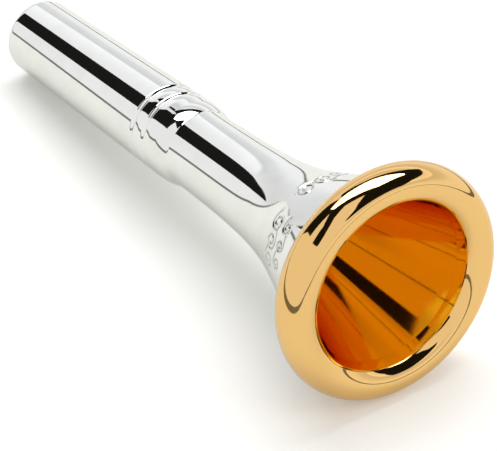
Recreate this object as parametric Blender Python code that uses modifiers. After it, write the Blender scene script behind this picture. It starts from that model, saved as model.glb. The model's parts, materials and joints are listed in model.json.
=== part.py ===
"""A three-piece French horn mouthpiece: screw rim, cup and shank, all turned from brass.

The pieces are modelled upright in an axis frame: +Z of the empty "mouthpiece_axis" runs from the shank's
tip to the rim, and zero is at the rim's widest circle. The empty then lays the assembly down on its rim
and its tip, with the player's end towards +X and the resting surface at Z = 0.
"""

from math import atan, cos, hypot, pi, radians, sin

import bpy

COLLECTION = "horn_mouthpiece"
STEPS = 48

# Driving sizes, in metres. Heights are measured along the axis from the rim's widest circle.
BITE_RADIUS = 0.00895
RIM_WIDTH = 0.00355
BODY_LENGTH = 0.03805
SHANK_LENGTH = 0.0256
TIP_RADIUS = 0.0041
SHANK_TAPER = 1 / 50

# Rim: quarter ellipses outside, and a gentler curve from the crest in to the bite.
RIM_FRONT_RISE = 0.00222
RIM_FRONT_WIDTH = 0.00165
RIM_BACK_DROP = 0.0026
RIM_BACK_WIDTH = 0.0027
RIM_BACK_TRIM = 0.00015
BITE_HEIGHT = 0.00102
BITE_SLOPE = 0.15
LIP_REACH = (0.50, 0.25)

# Thread of the rim, cut in the rim and on the collar of the cup, and the shoulder below it.
BITE_STEP = 0.0003
COLLAR_WALL = 0.00075
COLLAR_TOP = -0.00005
FLANGE_OVERHANG = 0.00055
FLANGE_THICKNESS = 0.0002
FLANGE_FILLET = 0.00065
FLARE_TUCK = 0.00055

# Cup and bore.
CUP_DEPTH = 0.0204
THROAT_RADIUS = 0.0023
THROAT_FLARE = 0.0007
THROAT_BLEND = 0.0027
THROAT_LENGTH = 0.0026
TIP_WALL = 0.0007

# Outside of the cup: flare, neck and the turned rings.
FLARE_LENGTH = 0.0134
FLARE_TOP_SLOPE = 0.228
FLARE_MIDDLE_RISE = 0.00085
FLARE_MIDDLE_SLOPE = 0.171
FLARE_REACH = (0.47, 0.56)
NECK_REACH = (0.07, 0.30)
BEAD_RISE = 0.00039
BEAD_LENGTH = 0.0020
BEAD_STEP = 0.00003
RING_LENGTH = 0.0019
RING_GROOVE_WIDTH = 0.0005
RING_GROOVE_DEPTH = 0.0002

# Thread of the shank, cut in the cup and on the spigot of the shank.
SOCKET_WALL = 0.00075
SPIGOT_LENGTH = 0.0046

FIT_GAP = 0.0003
EDGE = 0.00015
CORNER_POINTS = 4
CURVE_POINTS = 8

# Worked out from the sizes above, from the rim to the tip.
RIM_RADIUS = BITE_RADIUS + RIM_WIDTH
RIM_BACK_FACE = RIM_BACK_TRIM - RIM_BACK_DROP
CUP_TOP_RADIUS = BITE_RADIUS - BITE_STEP
COLLAR_RADIUS = CUP_TOP_RADIUS + COLLAR_WALL
FLANGE_TOP = RIM_BACK_FACE - FIT_GAP
FLARE_TOP = FLANGE_TOP - FLANGE_THICKNESS - FLANGE_FILLET
FLARE_TOP_RADIUS = COLLAR_RADIUS - FLARE_TUCK
FLARE_MIDDLE = FLARE_TOP - FLARE_LENGTH
CONE_END_RADIUS = THROAT_RADIUS + THROAT_FLARE
CONE_END = COLLAR_TOP - CUP_DEPTH
THROAT_TOP = CONE_END - THROAT_BLEND
THROAT_BOTTOM = THROAT_TOP - THROAT_LENGTH
SEAM_HEIGHT = -BODY_LENGTH
RING_RADIUS = TIP_RADIUS + SHANK_TAPER * SHANK_LENGTH
BEAD_RADIUS = RING_RADIUS + BEAD_STEP
NECK_RADIUS = BEAD_RADIUS - BEAD_RISE
FLARE_MIDDLE_RADIUS = NECK_RADIUS + FLARE_MIDDLE_RISE
SOCKET_RADIUS = RING_RADIUS - SOCKET_WALL
SPIGOT_RADIUS = SOCKET_RADIUS - FIT_GAP
TIP_HEIGHT = SEAM_HEIGHT - SHANK_LENGTH
TIP_BORE_RADIUS = TIP_RADIUS - TIP_WALL


def clear_scene():
    for existing in list(bpy.data.objects):
        bpy.data.objects.remove(existing, do_unlink=True)


def metal(name, colour, roughness):
    material = bpy.data.materials.new(name)
    material.use_nodes = True
    shader = material.node_tree.nodes["Principled BSDF"]
    shader.inputs["Base Color"].default_value = (*colour, 1.0)
    shader.inputs["Metallic"].default_value = 1.0
    shader.inputs["Roughness"].default_value = roughness
    return material


def quarter_ellipse(centre, across, along, start, end, points):
    """Points on an ellipse from one angle to another; 0 points outwards and pi / 2 along the axis."""
    angles = [start + (end - start) * i / points for i in range(points + 1)]
    return [(centre[0] + across * cos(a), centre[1] + along * sin(a)) for a in angles]


def bezier(corners, points):
    """Points along the Bezier curve with four (radius, height) corners."""
    curve = []
    for i in range(points + 1):
        t = i / points
        weights = ((1 - t) ** 3, 3 * t * (1 - t) ** 2, 3 * t * t * (1 - t), t ** 3)
        curve.append(tuple(sum(w * c[k] for w, c in zip(weights, corners)) for k in (0, 1)))
    return curve


def slope_curve(low, low_slope, high, high_slope, points, reach=(1 / 3, 1 / 3)):
    """A curve between two (radius, height) points with the given changes of radius with height.

    reach gives how far each end keeps its slope, as a share of the curve's height.
    """
    first_span, second_span = (share * (high[1] - low[1]) for share in reach)
    first = (low[0] + low_slope * first_span, low[1] + first_span)
    second = (high[0] - high_slope * second_span, high[1] - second_span)
    return bezier((low, first, second, high), points)


def lip_curve(points):
    """The rim's inner slope, from the bite's edge out to the crest."""
    crest = (RIM_RADIUS - RIM_FRONT_WIDTH, RIM_FRONT_RISE)
    out = crest[0] - BITE_RADIUS
    rise = LIP_REACH[1] * hypot(out, crest[1] - BITE_HEIGHT)
    first = (BITE_RADIUS + BITE_SLOPE * rise, BITE_HEIGHT + rise)
    second = (crest[0] - LIP_REACH[0] * out, crest[1])
    return bezier(((BITE_RADIUS, BITE_HEIGHT), first, second, crest), points)


def shank_radius(height):
    return TIP_RADIUS + SHANK_TAPER * (height - TIP_HEIGHT)


def backbore_radius(height):
    """The backbore widens evenly from the throat to the tip."""
    share = (THROAT_BOTTOM - height) / (THROAT_BOTTOM - TIP_HEIGHT)
    return THROAT_RADIUS + (TIP_BORE_RADIUS - THROAT_RADIUS) * share


def rim_profile():
    """Closed section of the rim: down the outside, then up the threaded socket and the inner lip."""
    crest_radius = RIM_RADIUS - RIM_FRONT_WIDTH
    front = quarter_ellipse((crest_radius, 0), RIM_FRONT_WIDTH, RIM_FRONT_RISE, pi / 2, 0, CURVE_POINTS)
    back_centre = (RIM_RADIUS - RIM_BACK_WIDTH, 0)
    back = quarter_ellipse(back_centre, RIM_BACK_WIDTH, RIM_BACK_DROP, 0, -pi / 2, CURVE_POINTS)
    back = [point for point in back[1:] if point[1] > RIM_BACK_FACE]
    face_angle = (1 - (RIM_BACK_FACE / RIM_BACK_DROP) ** 2) ** 0.5
    face_radius = back_centre[0] + RIM_BACK_WIDTH * face_angle
    socket_radius = COLLAR_RADIUS + FIT_GAP
    ceiling = COLLAR_TOP + FIT_GAP
    socket = [
        (face_radius, RIM_BACK_FACE),
        (socket_radius + EDGE, RIM_BACK_FACE),
        (socket_radius, RIM_BACK_FACE + EDGE),
        (socket_radius, ceiling),
        (CUP_TOP_RADIUS, ceiling),
    ]
    return front + back + socket + lip_curve(CORNER_POINTS + 1)[:-1]


def collar_and_flange():
    """The male thread under the rim and the shoulder that the rim screws down on."""
    flange_radius = COLLAR_RADIUS + FLANGE_OVERHANG
    fillet = quarter_ellipse(
        (flange_radius, FLARE_TOP),
        flange_radius - FLARE_TOP_RADIUS,
        FLANGE_FILLET,
        pi / 2,
        pi,
        CORNER_POINTS,
    )
    return [
        (COLLAR_RADIUS - EDGE, COLLAR_TOP),
        (COLLAR_RADIUS, COLLAR_TOP - EDGE),
        (COLLAR_RADIUS, FLANGE_TOP),
        (flange_radius, FLANGE_TOP),
    ] + fillet[:-1]


def ring_heights():
    """Heights of the seam, the groove between the two rings, and both ends of the bead."""
    first_ring = SEAM_HEIGHT + FIT_GAP / 2
    groove = first_ring + RING_LENGTH
    bead_bottom = groove + RING_LENGTH + RING_GROOVE_WIDTH / 2
    return first_ring, groove, bead_bottom, bead_bottom + BEAD_LENGTH


def flare():
    """The outside of the cup from under the rim down to the neck, top to bottom."""
    bead_top = ring_heights()[3]
    neck = (NECK_RADIUS, bead_top)
    middle = (FLARE_MIDDLE_RADIUS, FLARE_MIDDLE)
    top = (FLARE_TOP_RADIUS, FLARE_TOP)
    upper = slope_curve(middle, FLARE_MIDDLE_SLOPE, top, FLARE_TOP_SLOPE, CURVE_POINTS, FLARE_REACH)
    lower = slope_curve(neck, 0, middle, FLARE_MIDDLE_SLOPE, CURVE_POINTS, NECK_REACH)
    return upper[::-1] + lower[::-1][1:]


def rings():
    """The quarter-round bead and the two plain rings, parted by a fine groove, top to bottom."""
    first_ring, groove, bead_bottom, bead_top = ring_heights()
    drop = BEAD_RADIUS - NECK_RADIUS
    bend = 2 * atan(drop / BEAD_LENGTH)
    arc = BEAD_LENGTH / sin(bend)
    bead = []
    for i in range(1, CORNER_POINTS):
        turn = bend * (1 - i / CORNER_POINTS)
        bead.append((BEAD_RADIUS - arc * (1 - cos(turn)), bead_bottom + arc * sin(turn)))
    half = RING_GROOVE_WIDTH / 2
    return bead + [
        (BEAD_RADIUS, bead_bottom),
        (BEAD_RADIUS, groove + half),
        (RING_RADIUS - RING_GROOVE_DEPTH, groove),
        (RING_RADIUS, groove - half),
        (RING_RADIUS, first_ring + EDGE),
        (RING_RADIUS - EDGE, first_ring),
    ]


def cup_inside():
    """Up the shank's socket, the bore and the conical cup, bottom to top."""
    seam_face = SEAM_HEIGHT + FIT_GAP / 2
    socket_end = seam_face + SPIGOT_LENGTH
    slope = (CUP_TOP_RADIUS - CONE_END_RADIUS) / CUP_DEPTH
    socket = [
        (SOCKET_RADIUS + EDGE, seam_face),
        (SOCKET_RADIUS, seam_face + EDGE),
        (SOCKET_RADIUS, socket_end),
        (backbore_radius(socket_end), socket_end),
        (THROAT_RADIUS, THROAT_BOTTOM),
    ]
    throat = slope_curve((THROAT_RADIUS, THROAT_TOP), 0, (CONE_END_RADIUS, CONE_END), slope, CORNER_POINTS)
    return socket + throat + [(CUP_TOP_RADIUS, COLLAR_TOP)]


def cup_profile():
    return collar_and_flange() + flare() + rings() + cup_inside()


def shank_profile():
    """Closed section of the shank: down the spigot and the taper, then up the backbore."""
    shoulder = SEAM_HEIGHT - FIT_GAP / 2
    spigot_top = shoulder + SPIGOT_LENGTH
    return [
        (SPIGOT_RADIUS - EDGE, spigot_top),
        (SPIGOT_RADIUS, spigot_top - EDGE),
        (SPIGOT_RADIUS, shoulder),
        (shank_radius(shoulder) - EDGE, shoulder),
        (shank_radius(shoulder), shoulder - EDGE),
        (shank_radius(TIP_HEIGHT + EDGE), TIP_HEIGHT + EDGE),
        (TIP_RADIUS - EDGE, TIP_HEIGHT),
        (TIP_BORE_RADIUS, TIP_HEIGHT),
        (backbore_radius(spigot_top), spigot_top),
    ]


def turned(name, profile, material, axis, collection):
    """A solid of revolution about the axis empty, with a flat of its polygon facing the floor."""
    count = len(profile)
    outline = bpy.data.meshes.new(name)
    points = [(radius, 0, height) for radius, height in profile]
    outline.from_pydata(points, [(i, (i + 1) % count) for i in range(count)], [])
    piece = bpy.data.objects.new(name, outline)
    collection.objects.link(piece)
    screw = piece.modifiers.new("Screw", "SCREW")
    screw.axis = "Z"
    screw.angle = 2 * pi
    screw.steps = STEPS
    screw.render_steps = STEPS
    screw.use_merge_vertices = True
    screw.merge_threshold = 0.000001
    depsgraph = bpy.context.evaluated_depsgraph_get()
    solid = bpy.data.meshes.new_from_object(piece.evaluated_get(depsgraph))
    piece.modifiers.clear()
    piece.data = solid
    solid.name = name
    solid.shade_smooth()
    solid.set_sharp_from_angle(angle=radians(30))
    solid.materials.append(material)
    piece.parent = axis
    piece.rotation_euler = (0, 0, pi / STEPS)
    return piece


def lying_axis(rim, collection):
    """An empty that lays the mouthpiece on its rim and tip, centred over the floor point below it."""
    flat = cos(pi / STEPS)
    tip = (flat * shank_radius(TIP_HEIGHT + EDGE), TIP_HEIGHT + EDGE)
    outside = [(flat * radius, height) for radius, height in rim]
    rises = [((radius - tip[0]) / (height - tip[1]), (radius, height)) for radius, height in outside]
    slope, support = max(rises)
    tilt = atan(slope)
    front = max(height * cos(tilt) + radius * sin(tilt) for radius, height in outside)
    back = TIP_HEIGHT * cos(tilt) - flat * (TIP_RADIUS - EDGE) * sin(tilt)
    axis = bpy.data.objects.new("mouthpiece_axis", None)
    axis.rotation_euler = (0, pi / 2 - tilt, 0)
    axis.location = (-(front + back) / 2, 0, support[0] * cos(tilt) - support[1] * sin(tilt))
    axis.empty_display_size = RIM_RADIUS
    collection.objects.link(axis)
    return axis


def main():
    clear_scene()
    collection = bpy.data.collections.new(COLLECTION)
    bpy.context.scene.collection.children.link(collection)
    gold = metal("gold_plate", (0.83, 0.60, 0.28), 0.08)
    silver = metal("silver_plate", (0.88, 0.88, 0.86), 0.06)
    rim = rim_profile()
    axis = lying_axis(rim, collection)
    turned("screw_rim", rim, gold, axis, collection)
    turned("cup", cup_profile(), silver, axis, collection)
    turned("shank", shank_profile(), silver, axis, collection)


main()
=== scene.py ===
"""Looks of a three-piece French horn mouthpiece: gold-plated screw rim and cup lining, silver-plated body.

Every piece is turned about the mouthpiece's own axis. It is modelled upright in the axis frame, where +Z
runs from the shank's tip to the rim and zero is at the rim's widest circle, and is then laid on the axis
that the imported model's joints give. All lengths are in metres.
"""

import json
from collections import namedtuple
from math import asin, atan, cos, exp, hypot, pi, radians, sin

import bpy
from mathutils import Euler, Matrix, Vector
from mathutils.kdtree import KDTree


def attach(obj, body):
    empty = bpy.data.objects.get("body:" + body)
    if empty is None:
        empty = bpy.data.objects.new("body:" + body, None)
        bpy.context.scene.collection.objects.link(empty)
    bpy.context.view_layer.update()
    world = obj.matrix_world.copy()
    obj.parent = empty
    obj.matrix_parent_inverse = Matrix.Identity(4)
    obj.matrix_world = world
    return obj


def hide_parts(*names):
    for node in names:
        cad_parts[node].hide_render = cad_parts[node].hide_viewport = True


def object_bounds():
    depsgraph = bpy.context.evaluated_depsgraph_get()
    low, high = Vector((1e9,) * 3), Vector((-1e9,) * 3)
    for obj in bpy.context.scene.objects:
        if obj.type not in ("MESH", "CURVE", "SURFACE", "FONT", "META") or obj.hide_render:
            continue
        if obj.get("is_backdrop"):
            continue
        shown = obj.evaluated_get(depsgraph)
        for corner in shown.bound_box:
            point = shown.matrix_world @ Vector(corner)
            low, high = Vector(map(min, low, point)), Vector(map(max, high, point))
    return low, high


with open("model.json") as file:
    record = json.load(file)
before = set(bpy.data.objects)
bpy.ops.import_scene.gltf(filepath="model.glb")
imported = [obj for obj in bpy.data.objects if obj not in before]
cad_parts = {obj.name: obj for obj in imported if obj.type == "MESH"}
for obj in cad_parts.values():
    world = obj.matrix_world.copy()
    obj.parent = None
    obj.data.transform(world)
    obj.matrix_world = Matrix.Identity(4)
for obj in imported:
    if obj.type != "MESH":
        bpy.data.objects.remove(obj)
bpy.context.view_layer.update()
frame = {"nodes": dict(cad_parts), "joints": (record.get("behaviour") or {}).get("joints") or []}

# Driving sizes, as in the CAD model. Heights are measured along the axis from the rim's widest circle.
BITE_RADIUS = 0.00895
RIM_WIDTH = 0.00355
BODY_LENGTH = 0.03805
SHANK_LENGTH = 0.0256
TIP_RADIUS = 0.0041
SHANK_TAPER = 1 / 50
RIM_FRONT_RISE = 0.00222
RIM_FRONT_WIDTH = 0.00165
RIM_BACK_DROP = 0.0026
RIM_BACK_WIDTH = 0.0027
RIM_BACK_TRIM = 0.00015
BITE_HEIGHT = 0.00102
BITE_SLOPE = 0.15
LIP_REACH = (0.50, 0.25)
BITE_STEP = 0.0003
COLLAR_WALL = 0.00075
COLLAR_TOP = -0.00005
FLANGE_OVERHANG = 0.00055
FLANGE_THICKNESS = 0.0002
FLANGE_FILLET = 0.00065
FLARE_TUCK = 0.00055
CUP_DEPTH = 0.0204
THROAT_RADIUS = 0.0023
THROAT_FLARE = 0.0007
THROAT_BLEND = 0.0027
THROAT_LENGTH = 0.0026
TIP_WALL = 0.0007
FLARE_LENGTH = 0.0134
FLARE_TOP_SLOPE = 0.228
FLARE_MIDDLE_RISE = 0.00085
FLARE_MIDDLE_SLOPE = 0.171
FLARE_REACH = (0.47, 0.56)
NECK_REACH = (0.07, 0.30)
BEAD_RISE = 0.00039
BEAD_LENGTH = 0.0020
BEAD_STEP = 0.00003
RING_LENGTH = 0.0019
GROOVE_WIDTH = 0.0005
GROOVE_DEPTH = 0.0002
SOCKET_WALL = 0.00075
SPIGOT_LENGTH = 0.0046
FIT_GAP = 0.0003

# Sizes that only the looks need. The joint lines are the hairline gaps that show between closed pieces.
JOINT_LINE = 0.00002
CUP_JOINT = 0.000004
EDGE_RADIUS = 0.00012
TIP_EDGE_WIDTH = 0.00052
TIP_EDGE_LENGTH = 0.0009
GROOVE_EDGE = 0.00015
RING_ROUNDING = 0.00022
GROOVE_CUT = 0.00005
RING_CROWN = 0.00004
LINING = 0.00006
THREAD_PITCH = 0.00075
THREAD_DEPTH = 0.00026
THREAD_CLEARANCE = 0.00005
THREAD_ROW = 0.00009
CONE_ROW = 0.0008
SHARP_ANGLE = radians(40)

# A thread's crest is a triangle made steeper by the first number and lowered by the second, then cut flat.
THREAD_PROFILE = (1.3, 0.1)

# Worked out from the sizes above, from the rim to the tip.
RIM_RADIUS = BITE_RADIUS + RIM_WIDTH
RIM_BACK_FACE = RIM_BACK_TRIM - RIM_BACK_DROP
CUP_TOP_RADIUS = BITE_RADIUS - BITE_STEP
COLLAR_RADIUS = CUP_TOP_RADIUS + COLLAR_WALL
FLANGE_TOP = RIM_BACK_FACE - FIT_GAP
FLARE_TOP = FLANGE_TOP - FLANGE_THICKNESS - FLANGE_FILLET
FLARE_TOP_RADIUS = COLLAR_RADIUS - FLARE_TUCK
FLARE_MIDDLE = FLARE_TOP - FLARE_LENGTH
CONE_END_RADIUS = THROAT_RADIUS + THROAT_FLARE
CONE_END = COLLAR_TOP - CUP_DEPTH
THROAT_TOP = CONE_END - THROAT_BLEND
THROAT_BOTTOM = THROAT_TOP - THROAT_LENGTH
SEAM = -BODY_LENGTH
RING_RADIUS = TIP_RADIUS + SHANK_TAPER * SHANK_LENGTH
BEAD_RADIUS = RING_RADIUS + BEAD_STEP
NECK_RADIUS = BEAD_RADIUS - BEAD_RISE
FLARE_MIDDLE_RADIUS = NECK_RADIUS + FLARE_MIDDLE_RISE
SOCKET_RADIUS = RING_RADIUS - SOCKET_WALL
SPIGOT_RADIUS = SOCKET_RADIUS - FIT_GAP
TIP_HEIGHT = SEAM - SHANK_LENGTH
TIP_BORE_RADIUS = TIP_RADIUS - TIP_WALL
GROOVE = SEAM + FIT_GAP / 2 + RING_LENGTH
BEAD_BOTTOM = GROOVE + RING_LENGTH + GROOVE_WIDTH / 2
BEAD_TOP = BEAD_BOTTOM + BEAD_LENGTH

# Engraved ornament: rows of scrolls on the flare, each with its height, half height, first and last angle,
# and number of scrolls.
ENGRAVED_ROWS = (
    (-0.00960, 0.00100, radians(-137), radians(-90), 3),
    (-0.00740, 0.00072, radians(-137), radians(-96), 3),
    (-0.00950, 0.00112, radians(-205), radians(-155), 3),
)
ENGRAVED_TOP = -0.0063
ENGRAVED_BOTTOM = -0.0109
ENGRAVED_DEPTH = 0.00009
ENGRAVED_WIDTH = 0.00011
ENGRAVED_BURR = 0.00001
ENGRAVED_CELL = 0.00006

# A scroll's shape: the tail's length in scroll lengths, its height at the start in half heights, the spiral's
# turns, how much of its radius it loses, and its width to height.
TAIL_LENGTH = 0.62
TAIL_START = 0.55
SPIRAL_TURNS = 1.35
SPIRAL_CLOSING = 0.72
SPIRAL_WIDTH = 0.9
TAIL_POINTS = 10
SPIRAL_POINTS = 60

COLUMNS = 240


def axis_matrix():
    """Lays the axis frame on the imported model: its +Z on the joints' axis, its zero at the rim."""
    along = Vector(frame["joints"][0]["axis"]).normalized()
    corners = [vertex.co for vertex in frame["nodes"]["screw_rim"].data.vertices]
    middle = sum(corners, Vector()) / len(corners)
    crest = max(corner.dot(along) for corner in corners)
    centre = middle + along * (crest - RIM_FRONT_RISE - middle.dot(along))
    across = Vector((0, 1, 0))
    rotation = Matrix((across.cross(along), across, along)).transposed()
    return Matrix.Translation(centre) @ rotation.to_4x4()


AXIS_FRAME = axis_matrix()

# A ring of points of a turned piece. relief is None, or a function of angle and height that gives how far
# the surface stands proud there and how strongly painted shade darkens it, from 0 to 1. fine rings have more
# points.
Ring = namedtuple("Ring", "radius height relief fine", defaults=(None, False))


def ellipse_arc(centre, across, along, start, end, points):
    """Points on an ellipse from one angle to another; 0 points outwards and pi / 2 along the axis."""
    angles = [start + (end - start) * i / points for i in range(points + 1)]
    return [(centre[0] + across * cos(a), centre[1] + along * sin(a)) for a in angles]


def bezier(corners, points):
    """Points along the Bezier curve with four (radius, height) corners."""
    curve = []
    for i in range(points + 1):
        t = i / points
        weights = ((1 - t) ** 3, 3 * t * (1 - t) ** 2, 3 * t * t * (1 - t), t ** 3)
        curve.append(tuple(sum(w * c[k] for w, c in zip(weights, corners)) for k in (0, 1)))
    return curve


def slope_curve(low, low_slope, high, high_slope, points, reach=(1 / 3, 1 / 3)):
    """A curve between two (radius, height) points with the given changes of radius with height."""
    first_span, second_span = (share * (high[1] - low[1]) for share in reach)
    first = (low[0] + low_slope * first_span, low[1] + first_span)
    second = (high[0] - high_slope * second_span, high[1] - second_span)
    return bezier((low, first, second, high), points)


def lip_curve(points):
    """The rim's inner slope, from the bite's edge out to the crest."""
    crest = (RIM_RADIUS - RIM_FRONT_WIDTH, RIM_FRONT_RISE)
    out = crest[0] - BITE_RADIUS
    rise = LIP_REACH[1] * hypot(out, crest[1] - BITE_HEIGHT)
    first = (BITE_RADIUS + BITE_SLOPE * rise, BITE_HEIGHT + rise)
    second = (crest[0] - LIP_REACH[0] * out, crest[1])
    return bezier(((BITE_RADIUS, BITE_HEIGHT), first, second, crest), points)


def rounded(corners, radius, points=6):
    """An open outline through the corners, with each inner corner rounded by a short curve."""
    outline = [corners[0]]
    for before, corner, after in zip(corners, corners[1:], corners[2:]):
        here = Vector(corner)
        back = Vector(before) - here
        on = Vector(after) - here
        reach = min(radius, back.length * 0.45, on.length * 0.45)
        start = here + back.normalized() * reach
        end = here + on.normalized() * reach
        for i in range(points + 1):
            t = i / points
            outline.append(tuple(start * (1 - t) ** 2 + here * 2 * t * (1 - t) + end * t * t))
    return outline + [corners[-1]]


def steps_between(start, end, step):
    """Values from start to end, both included, no further apart than step."""
    count = max(1, round(abs(end - start) / step))
    return [start + (end - start) * i / count for i in range(count + 1)]


def shank_radius(height):
    return TIP_RADIUS + SHANK_TAPER * (height - TIP_HEIGHT)


def backbore_radius(height):
    share = (THROAT_BOTTOM - height) / (THROAT_BOTTOM - TIP_HEIGHT)
    return THROAT_RADIUS + (TIP_BORE_RADIUS - THROAT_RADIUS) * share


def thread(low, high, inwards):
    """The relief of a screw thread between two heights, cut on a post or, inwards, in a hole."""

    def relief(angle, height):
        turn = (height / THREAD_PITCH - angle / (2 * pi) + (0.5 if inwards else 0)) % 1
        crest = min(1, max(0, THREAD_PROFILE[0] * (1 - abs(2 * turn - 1)) - THREAD_PROFILE[1]))
        run_in = min(1, max(0, (height - low) / THREAD_PITCH), max(0, (high - height) / THREAD_PITCH))
        share = crest * run_in
        # The second value is painted shade: full in the roots and where the thread runs out, none on the
        # crests.
        return (-1 if inwards else 1) * THREAD_DEPTH * share, 1 - share

    return relief


def scroll(centre, half_height, length, flipped):
    """One curl of the ornament: a tail that runs into a spiral. x runs around the flare and y along it."""
    side = -1 if flipped else 1
    points = []
    for i in range(TAIL_POINTS + 1):
        t = i / TAIL_POINTS
        drop = TAIL_START + (1 - TAIL_START) * sin(t * pi / 2)
        points.append((length * TAIL_LENGTH * (t - 1), -half_height * drop))
    for i in range(SPIRAL_POINTS + 1):
        t = i / SPIRAL_POINTS
        turn = (2 * SPIRAL_TURNS * t - 1 / 2) * pi
        radius = half_height * (1 - SPIRAL_CLOSING * t)
        points.append((radius * cos(turn) * SPIRAL_WIDTH, radius * sin(turn)))
    return [Vector((centre[0] + x, centre[1] + y * side)) for x, y in points]


def flare_outline():
    """The outside of the cup from under the rim down to the neck, top to bottom, with even fine steps."""
    neck = (NECK_RADIUS, BEAD_TOP)
    middle = (FLARE_MIDDLE_RADIUS, FLARE_MIDDLE)
    top = (FLARE_TOP_RADIUS, FLARE_TOP)
    upper = slope_curve(middle, FLARE_MIDDLE_SLOPE, top, FLARE_TOP_SLOPE, 48, FLARE_REACH)
    lower = slope_curve(neck, 0, middle, FLARE_MIDDLE_SLOPE, 40, NECK_REACH)
    return upper[::-1] + lower[::-1][1:]


FLARE = flare_outline()


def flare_radius(height):
    """The flare's radius at a height, read between the points of its outline."""
    for upper, lower in zip(FLARE, FLARE[1:]):
        if upper[1] >= height >= lower[1]:
            share = (upper[1] - height) / (upper[1] - lower[1])
            return upper[0] + (lower[0] - upper[0]) * share
    return FLARE[0][0]


def engraving():
    """The relief of the ornament: rounded grooves darkened by painted shade, with a faint raised burr along
    their edges.
    """
    strokes = []
    for height, half_height, first, last, count in ENGRAVED_ROWS:
        around = flare_radius(height)
        length = (last - first) * around / count
        for i in range(count):
            centre = (first * around + (i + 0.5) * length, height)
            line = scroll(centre, half_height, length, i % 2 == 1)
            for start, end in zip(line, line[1:]):
                pieces = max(1, round((end - start).length / (ENGRAVED_WIDTH / 4)))
                strokes += [(start.lerp(end, k / pieces), around) for k in range(pieces)]
    tree = KDTree(len(strokes))
    for i, (point, around) in enumerate(strokes):
        angle = point.x / around
        radius = flare_radius(point.y)
        tree.insert((radius * cos(angle), radius * sin(angle), point.y), i)
    tree.balance()

    def relief(angle, height):
        radius = flare_radius(height)
        distance = tree.find((radius * cos(angle), radius * sin(angle), height))[2]
        groove = exp(-((distance / ENGRAVED_WIDTH) ** 2))
        burr = exp(-(((distance - 2 * ENGRAVED_WIDTH) / ENGRAVED_WIDTH) ** 2))
        return ENGRAVED_BURR * burr - ENGRAVED_DEPTH * groove, groove

    return relief


def inside_cup(_angle, _height):
    """The relief of a smooth surface inside the cup: not proud, and fully darkened by painted shade."""
    return 0, 1


def rim_rings():
    """Down the outside of the rim, then up its threaded socket and the inner lip."""
    crest_radius = RIM_RADIUS - RIM_FRONT_WIDTH
    face_angle = asin(RIM_BACK_FACE / RIM_BACK_DROP)
    front = ellipse_arc((crest_radius, 0), RIM_FRONT_WIDTH, RIM_FRONT_RISE, pi / 2, 0, 40)
    back = ellipse_arc((RIM_RADIUS - RIM_BACK_WIDTH, 0), RIM_BACK_WIDTH, RIM_BACK_DROP, 0, face_angle, 36)
    lip = lip_curve(32)
    root_radius = COLLAR_RADIUS + FIT_GAP / 2 + THREAD_CLEARANCE / 2 + THREAD_DEPTH
    ceiling = COLLAR_TOP + CUP_JOINT
    entry = rounded(
        [
            back[-1],
            (root_radius + EDGE_RADIUS, RIM_BACK_FACE),
            (root_radius, RIM_BACK_FACE + EDGE_RADIUS * 2),
        ],
        EDGE_RADIUS,
    )
    relief = thread(entry[-1][1], ceiling - EDGE_RADIUS, inwards=True)
    wall = [Ring(root_radius, h, relief) for h in steps_between(entry[-1][1], ceiling, THREAD_ROW)]
    inner = rounded([(root_radius, ceiling), (CUP_TOP_RADIUS, ceiling), lip[0], lip[1]], CUP_JOINT)[1:-1]
    outside = [Ring(*p) for p in front + back[1:] + entry[1:-1]]
    return outside + wall + [Ring(*p, inside_cup) for p in inner] + [Ring(*p) for p in lip[1:-1]]


def collar_rings():
    """The male thread under the rim and the shoulder that the rim screws down on."""
    root_radius = COLLAR_RADIUS + FIT_GAP / 2 - THREAD_CLEARANCE / 2 - THREAD_DEPTH
    flange_radius = COLLAR_RADIUS + FLANGE_OVERHANG
    flange_top = RIM_BACK_FACE - JOINT_LINE
    top = rounded(
        [
            (CUP_TOP_RADIUS + LINING + JOINT_LINE, COLLAR_TOP),
            (root_radius - EDGE_RADIUS, COLLAR_TOP),
            (root_radius, COLLAR_TOP - EDGE_RADIUS),
        ],
        EDGE_RADIUS,
    )
    relief = thread(flange_top + EDGE_RADIUS, COLLAR_TOP - EDGE_RADIUS, inwards=False)
    wall = [Ring(root_radius, h, relief) for h in steps_between(top[-1][1], flange_top, THREAD_ROW)]
    fillet = ellipse_arc(
        (flange_radius, FLARE_TOP), flange_radius - FLARE_TOP_RADIUS, FLANGE_FILLET, pi / 2, pi, 16
    )
    flange = rounded(
        [(root_radius, flange_top), (flange_radius, flange_top), fillet[0], fillet[1]], EDGE_RADIUS
    )
    return [Ring(*p) for p in top[:-1]] + wall + [Ring(*p) for p in flange[1:-1] + fillet[1:-1]]


def flare_rings():
    """The flare, with close rows where it is engraved."""
    relief = engraving()
    above = [Ring(*p) for p in FLARE if p[1] > ENGRAVED_TOP + ENGRAVED_CELL]
    heights = steps_between(ENGRAVED_TOP, ENGRAVED_BOTTOM, ENGRAVED_CELL)
    band = [Ring(flare_radius(h), h, relief, True) for h in heights]
    below = [Ring(*p) for p in FLARE if p[1] < ENGRAVED_BOTTOM - ENGRAVED_CELL]
    return above + band + below


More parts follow.
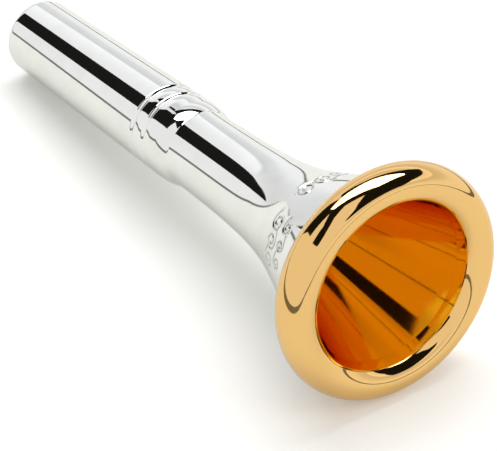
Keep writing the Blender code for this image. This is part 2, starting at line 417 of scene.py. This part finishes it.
def turned_ring_rings():
    """The quarter-round bead and the two plain rings, parted by a fine groove, top to bottom."""
    bend = 2 * atan(BEAD_RISE / BEAD_LENGTH)
    arc = BEAD_LENGTH / sin(bend)
    bead = []
    for i in range(1, 12):
        turn = bend * (1 - i / 12)
        bead.append((BEAD_RADIUS - arc * (1 - cos(turn)), BEAD_BOTTOM + arc * sin(turn)))
    first_ring = SEAM + JOINT_LINE
    outline = rounded(
        [
            bead[-1],
            (BEAD_RADIUS, BEAD_BOTTOM),
            (BEAD_RADIUS + RING_CROWN, (BEAD_BOTTOM + GROOVE) / 2),
            (BEAD_RADIUS, GROOVE + GROOVE_WIDTH / 2),
            (RING_RADIUS - GROOVE_DEPTH - GROOVE_CUT, GROOVE),
            (RING_RADIUS, GROOVE - GROOVE_WIDTH / 2),
            (RING_RADIUS + RING_CROWN, (GROOVE + first_ring) / 2),
            (RING_RADIUS, first_ring + GROOVE_WIDTH / 2),
            (RING_RADIUS - GROOVE_DEPTH - GROOVE_CUT, first_ring),
            (SOCKET_RADIUS + EDGE_RADIUS, first_ring),
            (SOCKET_RADIUS, first_ring + EDGE_RADIUS),
        ],
        RING_ROUNDING,
    )
    return [Ring(*p) for p in bead[:-1] + outline[:-1]]


def socket_rings():
    """Up the shank's threaded socket to its end."""
    root_radius = SPIGOT_RADIUS + FIT_GAP / 2 + THREAD_CLEARANCE / 2 + THREAD_DEPTH
    socket_end = SEAM + FIT_GAP / 2 + SPIGOT_LENGTH
    start = SEAM + JOINT_LINE + EDGE_RADIUS * 2
    relief = thread(start, socket_end - EDGE_RADIUS, inwards=True)
    return [Ring(root_radius, h, relief) for h in steps_between(start, socket_end, THREAD_ROW)]


def cup_wall():
    """The conical cup and the throat, from the throat's end up to the collar's inner edge."""
    slope = (CUP_TOP_RADIUS - CONE_END_RADIUS) / CUP_DEPTH
    throat = slope_curve((THROAT_RADIUS, THROAT_TOP), 0, (CONE_END_RADIUS, CONE_END), slope, 24)
    heights = steps_between(CONE_END, COLLAR_TOP, CONE_ROW)
    cone = [(CONE_END_RADIUS + slope * (h - CONE_END), h) for h in heights]
    return [(THROAT_RADIUS, THROAT_BOTTOM)] + throat + cone[1:]


def shell_rings():
    """The silver-plated body of the cup: outside top to bottom, then up the socket and inside."""
    socket_end = SEAM + FIT_GAP / 2 + SPIGOT_LENGTH
    offset = LINING + JOINT_LINE
    inside = [(backbore_radius(socket_end), socket_end), (THROAT_RADIUS, THROAT_BOTTOM)]
    inside += [(radius + offset, height) for radius, height in cup_wall()[:-1]]
    return collar_rings() + flare_rings() + turned_ring_rings() + socket_rings() + [Ring(*p) for p in inside]


def lining_rings():
    """The gold plating in the cup, as a thin closed shell: down its back, then up its bright side."""
    wall = cup_wall()
    back = [(radius + LINING, height) for radius, height in wall[::-1]]
    return [Ring(*p) for p in back + wall]


def shank_rings():
    """The shank: down the threaded spigot and the taper, then up the backbore."""
    root_radius = SPIGOT_RADIUS + FIT_GAP / 2 - THREAD_CLEARANCE / 2 - THREAD_DEPTH
    shoulder = SEAM - JOINT_LINE
    spigot_top = SEAM - FIT_GAP / 2 + SPIGOT_LENGTH
    top = rounded(
        [
            (backbore_radius(spigot_top), spigot_top),
            (root_radius - EDGE_RADIUS, spigot_top),
            (root_radius, spigot_top - EDGE_RADIUS),
        ],
        EDGE_RADIUS,
    )
    relief = thread(shoulder + EDGE_RADIUS, spigot_top - EDGE_RADIUS, inwards=False)
    spigot = [Ring(root_radius, h, relief) for h in steps_between(top[-1][1], shoulder, THREAD_ROW)]
    body = rounded(
        [
            (root_radius, shoulder),
            (RING_RADIUS - GROOVE_DEPTH - GROOVE_CUT, shoulder),
            (RING_RADIUS, shoulder - GROOVE_WIDTH / 2),
            (shank_radius(TIP_HEIGHT + TIP_EDGE_LENGTH), TIP_HEIGHT + TIP_EDGE_LENGTH),
        ],
        GROOVE_EDGE,
    )
    edge = ellipse_arc(
        (TIP_RADIUS - TIP_EDGE_WIDTH, TIP_HEIGHT + TIP_EDGE_LENGTH),
        shank_radius(TIP_HEIGHT + TIP_EDGE_LENGTH) - TIP_RADIUS + TIP_EDGE_WIDTH,
        TIP_EDGE_LENGTH,
        0,
        -pi / 2,
        14,
    )
    bore = rounded(
        [edge[-1], (TIP_BORE_RADIUS, TIP_HEIGHT), (backbore_radius(spigot_top), spigot_top)], EDGE_RADIUS
    )
    outline = body[1:-1] + edge + bore[1:-1]
    return [Ring(*p) for p in top[:-1]] + spigot + [Ring(*p) for p in outline]


def column_angles():
    """Angles of the columns of points, and those of fine rings, which are closer together at the ornament."""
    coarse = [2 * pi * i / COLUMNS for i in range(COLUMNS)]
    splits = max(1, round(2 * pi / COLUMNS * flare_radius(ENGRAVED_TOP) / ENGRAVED_CELL))
    first = min(row[2] for row in ENGRAVED_ROWS) - radians(4)
    last = max(row[3] for row in ENGRAVED_ROWS) + radians(4)
    fine = []
    starts = []
    for angle in coarse:
        starts.append(len(fine))
        engraved = first <= angle - 2 * pi <= last
        count = splits if engraved else 1
        fine += [angle + 2 * pi / COLUMNS * k / count for k in range(count)]
    return coarse, fine, starts + [len(fine)]


def turned(name, rings, material):
    """A solid of revolution about Z from its rings, which run down the outside and up the inside."""
    coarse, fine, starts = column_angles()
    points = []
    painted_shade = []
    rows = []
    for ring in rings:
        angles = fine if ring.fine else coarse
        rows.append((len(points), len(angles)))
        for angle in angles:
            proud, painted_shade_share = ring.relief(angle, ring.height) if ring.relief else (0, 0)
            radius = ring.radius + proud
            points.append((radius * cos(angle), radius * sin(angle), ring.height))
            painted_shade.append(painted_shade_share)
    faces = []
    for row in range(len(rings)):
        upper, upper_count = rows[row]
        lower, lower_count = rows[(row + 1) % len(rings)]
        if upper_count == lower_count:
            for i in range(upper_count):
                on = (i + 1) % upper_count
                faces.append((upper + i, lower + i, lower + on, upper + on))
            continue
        for i in range(COLUMNS):
            on = (i + 1) % COLUMNS
            between = range(starts[i], starts[i + 1] + 1)
            if lower_count > upper_count:
                middle = [lower + k % lower_count for k in between]
                faces.append([upper + i, *middle, upper + on])
            else:
                middle = [upper + k % upper_count for k in reversed(between)]
                faces.append([lower + i, lower + on, *middle])
    mesh = bpy.data.meshes.new(name)
    mesh.from_pydata(points, [], faces)
    mesh.transform(AXIS_FRAME)
    # Painted shade for each point, which the plating's material darkens towards its second colour.
    attribute = mesh.attributes.new("painted_shade", "FLOAT", "POINT")
    attribute.data.foreach_set("value", painted_shade)
    mesh.shade_smooth()
    mesh.set_sharp_from_angle(angle=SHARP_ANGLE)
    mesh.materials.append(material)
    piece = bpy.data.objects.new(name, mesh)
    bpy.context.scene.collection.objects.link(piece)
    normals = piece.modifiers.new("Even normals", "WEIGHTED_NORMAL")
    normals.keep_sharp = True
    normals.weight = 50
    return piece


# Detail in the plating, in turns or noise cells per metre, and how far painted shade darkens a recess.
POLISH_LINES = 9000.0
SMEAR_SCALE = 260.0
SPECK_SCALE = 2600.0
PAINTED_SHADE_DEPTH = 0.9


class Nodes:
    """Short ways to add and join the nodes of one material."""

    def __init__(self, name):
        self.material = bpy.data.materials.new(name)
        self.material.use_nodes = True
        self.tree = self.material.node_tree
        self.shader = self.tree.nodes["Principled BSDF"]

    def add(self, kind, inputs=None, **settings):
        node = self.tree.nodes.new(kind)
        for key, value in settings.items():
            setattr(node, key, value)
        for socket, value in (inputs or {}).items():
            self.feed(node.inputs[socket], value)
        return node

    def feed(self, socket, value):
        if isinstance(value, bpy.types.NodeSocket):
            self.tree.links.new(value, socket)
        else:
            socket.default_value = value


def plated(name, colour, shade_and_smear_colour, roughness):
    """Plating with polishing lines around the axis, faint smears, and painted shade in recesses."""
    nodes = Nodes(name)
    place = nodes.add(
        "ShaderNodeMapping",
        {
            "Vector": nodes.add("ShaderNodeTexCoord").outputs["Object"],
            "Location": AXIS_FRAME.to_translation(),
            "Rotation": AXIS_FRAME.to_euler(),
        },
        vector_type="TEXTURE",
    ).outputs["Vector"]
    parts = nodes.add("ShaderNodeSeparateXYZ", {"Vector": place})
    flat = nodes.add("ShaderNodeCombineXYZ", {"X": parts.outputs["X"], "Y": parts.outputs["Y"]})
    unit = nodes.add("ShaderNodeVectorMath", {0: flat.outputs["Vector"]}, operation="NORMALIZE")
    lift = nodes.add("ShaderNodeCombineXYZ", {"Z": parts.outputs["Z"]})
    stretched = nodes.add(
        "ShaderNodeVectorMath", {0: lift.outputs["Vector"], 1: (0, 0, POLISH_LINES)}, operation="MULTIPLY"
    )
    around = nodes.add(
        "ShaderNodeVectorMath", {0: unit.outputs["Vector"], 1: stretched.outputs["Vector"]}, operation="ADD"
    )
    lines = nodes.add(
        "ShaderNodeTexNoise",
        {"Vector": around.outputs["Vector"], "Scale": 1.6, "Detail": 5.0, "Roughness": 0.6},
    )
    smears = nodes.add(
        "ShaderNodeTexNoise", {"Vector": place, "Scale": SMEAR_SCALE, "Detail": 4.0, "Distortion": 0.8}
    )
    specks = nodes.add("ShaderNodeTexNoise", {"Vector": place, "Scale": SPECK_SCALE, "Detail": 2.0})
    painted_shade = nodes.add("ShaderNodeAttribute", attribute_name="painted_shade").outputs["Fac"]
    tone = nodes.add(
        "ShaderNodeMapRange",
        {"Value": smears.outputs["Fac"], "From Min": 0.35, "From Max": 0.75, "To Min": 0.0, "To Max": 0.10},
    )
    # Painted shade in recesses, plus random smears, pulls the colour towards the second colour.
    shade_and_smear = nodes.add(
        "ShaderNodeMath", {0: painted_shade, 1: PAINTED_SHADE_DEPTH, 2: tone.outputs["Result"]}, operation="MULTIPLY_ADD"
    )
    tint = nodes.add(
        "ShaderNodeMix",
        {"Factor": shade_and_smear.outputs["Value"], "A": (*colour, 1), "B": (*shade_and_smear_colour, 1)},
        data_type="RGBA",
    )
    nodes.feed(nodes.shader.inputs["Base Color"], tint.outputs["Result"])
    streaks = nodes.add(
        "ShaderNodeMapRange",
        {"Value": lines.outputs["Fac"], "From Min": 0.3, "From Max": 0.8, "To Min": roughness * 0.6,
         "To Max": roughness * 1.3},
    )
    cloud = nodes.add(
        "ShaderNodeMath", {0: smears.outputs["Fac"], 1: roughness * 0.6, 2: streaks.outputs["Result"]},
        operation="MULTIPLY_ADD",
    )
    nodes.feed(nodes.shader.inputs["Roughness"], cloud.outputs["Value"])
    relief = nodes.add(
        "ShaderNodeMath",
        {0: specks.outputs["Fac"], 1: 0.3, 2: lines.outputs["Fac"]},
        operation="MULTIPLY_ADD",
    )
    bump = nodes.add(
        "ShaderNodeBump", {"Height": relief.outputs["Value"], "Strength": 0.05, "Distance": 0.00001}
    )
    nodes.feed(nodes.shader.inputs["Normal"], bump.outputs["Normal"])
    nodes.shader.inputs["Metallic"].default_value = 1.0
    return nodes.material


def glowing(name, colour, strength):
    """A plain light-giving surface for the studio."""
    material = bpy.data.materials.new(name)
    material.use_nodes = True
    tree = material.node_tree
    tree.nodes.clear()
    emission = tree.nodes.new("ShaderNodeEmission")
    emission.inputs["Color"].default_value = (*colour, 1)
    emission.inputs["Strength"].default_value = strength
    output = tree.nodes.new("ShaderNodeOutputMaterial")
    tree.links.new(emission.outputs["Emission"], output.inputs["Surface"])
    return material


def towards(east, north, distance):
    """A point above the object, at a distance: east and north are degrees away from straight up."""
    slant = radians(hypot(east, north))
    heading = Vector((east, north)).normalized() if slant else Vector((1, 0))
    return Vector((heading.x * sin(slant), heading.y * sin(slant), cos(slant))) * distance + STUDIO_CENTRE


def studio_card(name, outline, distance, material):
    """A card that the camera doesn't see, given by its corners in the sky."""
    mesh = bpy.data.meshes.new(name)
    mesh.from_pydata([towards(*corner, distance) for corner in outline], [], [range(len(outline))])
    mesh.materials.append(material)
    card = bpy.data.objects.new(name, mesh)
    bpy.context.scene.collection.objects.link(card)
    card.visible_camera = False
    card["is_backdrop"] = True


# The middle of the studio, and how far the cards and the softbox are from it.
STUDIO_CENTRE = Vector((0, 0, 0.01))
CARD_DISTANCE = 1.5
SOFTBOX_DISTANCE = 1.2
SOFTBOX_STRENGTH = 5.0

# Brightness of the far wall (+Y) at some elevations, in degrees, and of the near wall (-Y) at any.
WALL_TONES = (
    (0, 0.96), (7.4, 0.95), (10.9, 0.88), (14.4, 0.79), (18, 0.76), (22.2, 0.70), (24.4, 1.06), (27.5, 1.0),
    (31.9, 0.92), (33.6, 0.86), (34.9, 0.75), (36, 0.66), (41, 0.84), (50, 0.94), (89, 0.95),
)
NEAR_TONE = 0.88

# The near wall fades into the far one between minus this much and this much of the direction's y.
SIDE_BLEND = 0.15

# Straight towards -X the walls are darker by this factor, which fades out where the direction's x reaches
# the end.
BACK_TONE = 0.82
BACK_END = -0.93

# The white sheet that the mouthpiece lies on: its left, right, near and far edges, the height of the dark
# strip that stands along the last three, how strongly the sheet glows, and its colour as the camera and as
# reflections see it.
SHEET = (-1.2, 0.16, -0.065, 0.10)
SHEET_EDGE = 0.0065
SHEET_GLOW = 0.10
SHEET_SHOWN = ((0.90, 0.90, 0.885, 1), (0.92, 0.92, 0.905, 1))
SHEET_REFLECTED = (0.65, 0.655, 0.615, 1)

# A broad light, with its place and size in metres and its power in watts.
SIDE_LIGHT_PLACE = (0.6, 0.6, 0.55)
SIDE_LIGHT_SIZE = 0.8
SIDE_LIGHT_POWER = 4.0

# Black cards and the softbox, as corners in degrees east (+X) and north (+Y) of straight up.
BLACK_CARDS = {
    "card_left": ((-86, -21), (-61, -8), (-42, -5), (-28, -22), (-37, -43), (-60, -34)),
    "card_top": ((-54, 1), (-41, 17), (-33, 31), (-25, 44), (-20, 59), (1, 59), (12, 22), (12, 7), (-5, -11),
                 (-28, -22), (-42, -5)),
    "card_front": ((-12, -34), (-9, -49), (15, -47), (24, -44), (20, -36), (11, -29), (1, -23), (-5, -11),
                   (-28, -22)),
    "card_right": ((1, 59), (17, 55), (35, 47), (55, 41), (61, 27), (60, 0), (54, -6), (44, 0), (28, 1),
                   (12, 7), (10, 22)),
}
SOFTBOX = ((-41, -5), (-38, -17), (-28, -17), (9, 20), (8, 27), (-1, 44), (-7, 44), (-31, 20))

CAMERA_PLACE = (0.235030, -0.159657, 0.231633)
CAMERA_TURN = (radians(50.712), 0, radians(55.0094))
CAMERA_LENS = 255.34


def studio():
    """White surroundings, which reflections see shaded, with black cards and an overhead softbox."""
    world = bpy.data.worlds.new("studio_walls")
    bpy.context.scene.world = world
    world.use_nodes = True
    tree = world.node_tree
    background = tree.nodes["Background"]
    seen = tree.nodes.new("ShaderNodeLightPath")
    place = tree.nodes.new("ShaderNodeTexCoord")
    parts = tree.nodes.new("ShaderNodeSeparateXYZ")
    tree.links.new(place.outputs["Generated"], parts.inputs["Vector"])
    ramp = tree.nodes.new("ShaderNodeValToRGB")
    tones = ramp.color_ramp.elements
    for elevation, grey in WALL_TONES:
        tone = tones.new(sin(radians(elevation)))
        tone.color = (grey * 0.99, grey, grey * 1.01, 1)
    tones.remove(tones[0])
    tree.links.new(parts.outputs["Z"], ramp.inputs["Fac"])
    back = tree.nodes.new("ShaderNodeMapRange")
    back.interpolation_type = "SMOOTHSTEP"
    back.inputs["From Min"].default_value = -1.0
    back.inputs["From Max"].default_value = BACK_END
    back.inputs["To Min"].default_value = BACK_TONE
    tree.links.new(parts.outputs["X"], back.inputs["Value"])
    shaded = tree.nodes.new("ShaderNodeVectorMath")
    shaded.operation = "SCALE"
    side = tree.nodes.new("ShaderNodeMapRange")
    side.inputs["From Min"].default_value = -SIDE_BLEND
    side.inputs["From Max"].default_value = SIDE_BLEND
    tree.links.new(parts.outputs["Y"], side.inputs["Value"])
    sides = tree.nodes.new("ShaderNodeMix")
    sides.data_type = "RGBA"
    sides.inputs["A"].default_value = (NEAR_TONE, NEAR_TONE, NEAR_TONE, 1)
    tree.links.new(side.outputs["Result"], sides.inputs["Factor"])
    tree.links.new(ramp.outputs["Color"], sides.inputs["B"])
    tree.links.new(sides.outputs["Result"], shaded.inputs["Vector"])
    tree.links.new(back.outputs["Result"], shaded.inputs["Scale"])
    walls = tree.nodes.new("ShaderNodeMix")
    walls.data_type = "RGBA"
    walls.inputs["B"].default_value = (1, 1, 1, 1)
    tree.links.new(shaded.outputs["Vector"], walls.inputs["A"])
    tree.links.new(seen.outputs["Is Camera Ray"], walls.inputs["Factor"])
    tree.links.new(walls.outputs["Result"], background.inputs["Color"])
    black = glowing("black_card", (1, 1, 0.95), 0.01)
    for name, outline in BLACK_CARDS.items():
        studio_card(name, outline, CARD_DISTANCE, black)
    studio_card("softbox", SOFTBOX, SOFTBOX_DISTANCE, glowing("softbox", (1, 1, 1), SOFTBOX_STRENGTH))


def side_light():
    """A broad light from the far right that the floor shows and reflections don't."""
    data = bpy.data.lights.new("side_light", "AREA")
    data.size = SIDE_LIGHT_SIZE
    data.energy = SIDE_LIGHT_POWER
    light = bpy.data.objects.new("side_light", data)
    place = Vector(SIDE_LIGHT_PLACE)
    light.location = place
    light.rotation_euler = place.to_track_quat("Z", "Y").to_euler()
    light.visible_glossy = False
    light.visible_camera = False
    bpy.context.scene.collection.objects.link(light)


def floor(height):
    """A white sheet that glows a little, with a dark edge that only reflections see."""
    nodes = Nodes("white_floor")
    grain = nodes.add("ShaderNodeTexNoise", {"Scale": 900.0, "Detail": 3.0})
    tone = nodes.add(
        "ShaderNodeMix",
        {"Factor": grain.outputs["Fac"], "A": SHEET_SHOWN[0], "B": SHEET_SHOWN[1]},
        data_type="RGBA",
    )
    seen = nodes.add("ShaderNodeLightPath")
    shown = nodes.add(
        "ShaderNodeMix",
        {"Factor": seen.outputs["Is Camera Ray"], "A": SHEET_REFLECTED, "B": tone.outputs["Result"]},
        data_type="RGBA",
    )
    nodes.feed(nodes.shader.inputs["Base Color"], shown.outputs["Result"])
    nodes.shader.inputs["Emission Color"].default_value = (1, 0.97, 0.89, 1)
    nodes.shader.inputs["Emission Strength"].default_value = SHEET_GLOW
    nodes.shader.inputs["Roughness"].default_value = 0.9
    nodes.shader.inputs["Specular IOR Level"].default_value = 0.0
    left, right, near, far = SHEET
    corners = [(left, near), (right, near), (right, far), (left, far)]
    mesh = bpy.data.meshes.new("floor")
    mesh.from_pydata([(x, y, height) for x, y in corners], [], [(0, 1, 2, 3)])
    mesh.materials.append(nodes.material)
    plane = bpy.data.objects.new("floor", mesh)
    bpy.context.scene.collection.objects.link(plane)
    plane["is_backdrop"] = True
    mesh = bpy.data.meshes.new("floor_edge")
    points = [(x, y, height + lift) for lift in (0, SHEET_EDGE) for x, y in corners]
    mesh.from_pydata(points, [], [(0, 1, 5, 4), (1, 2, 6, 5), (2, 3, 7, 6)])
    mesh.materials.append(glowing("sheet_edge", (0.19, 0.19, 0.18), 1))
    edge = bpy.data.objects.new("floor_edge", mesh)
    bpy.context.scene.collection.objects.link(edge)
    edge.visible_camera = False
    edge.visible_diffuse = False
    edge.visible_shadow = False
    edge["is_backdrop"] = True


def camera():
    """A long lens that looks from the rim's end, the near side and above."""
    data = bpy.data.cameras.new("camera")
    data.lens = CAMERA_LENS
    data.clip_start = 0.01
    view = bpy.data.objects.new("camera", data)
    view.location = CAMERA_PLACE
    view.rotation_euler = Euler(CAMERA_TURN)
    bpy.context.scene.collection.objects.link(view)
    bpy.context.scene.camera = view


def main():
    """Builds the pieces on their bodies, then the studio, a floor under the lowest point shown, and the
    camera.
    """
    # Each plating's second colour is the one that painted shade in recesses and random smears darken it
    # towards.
    silver = plated("silver_plate", (0.93, 0.935, 0.92), (0.40, 0.39, 0.36), 0.035)
    gold = plated("gold_plate", (0.93, 0.59, 0.235), (0.90, 0.57, 0.08), 0.04)
    # The lining's gold is a deeper, more saturated copy of the rim's plating: painted shade for the inside of
    # the cup.
    lining_gold_with_painted_shade = plated("gold_lining_painted_shade", (0.90, 0.57, 0.08), (0.74, 0.40, 0.04), 0.05)
    shell = turned("cup_body", shell_rings(), silver)
    lining = turned("cup_lining", lining_rings(), lining_gold_with_painted_shade)
    rim = turned("rim_ring", rim_rings(), gold)
    shank = turned("shank_taper", shank_rings(), silver)
    for piece, body, node, slot in (
        (shell, "cup", "cup", "silver_plate"),
        (lining, "cup", "cup", "gold_plate"),
        (rim, "rim", "screw_rim", "gold_plate"),
        (shank, "shank", "shank", "silver_plate"),
    ):
        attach(piece, body)
        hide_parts(node)
    studio()
    side_light()
    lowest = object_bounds()[0].z
    floor(lowest)
    camera()
    bpy.context.scene.view_settings.view_transform = "Standard"
    bpy.context.scene.cycles.glossy_bounces = 12


main()
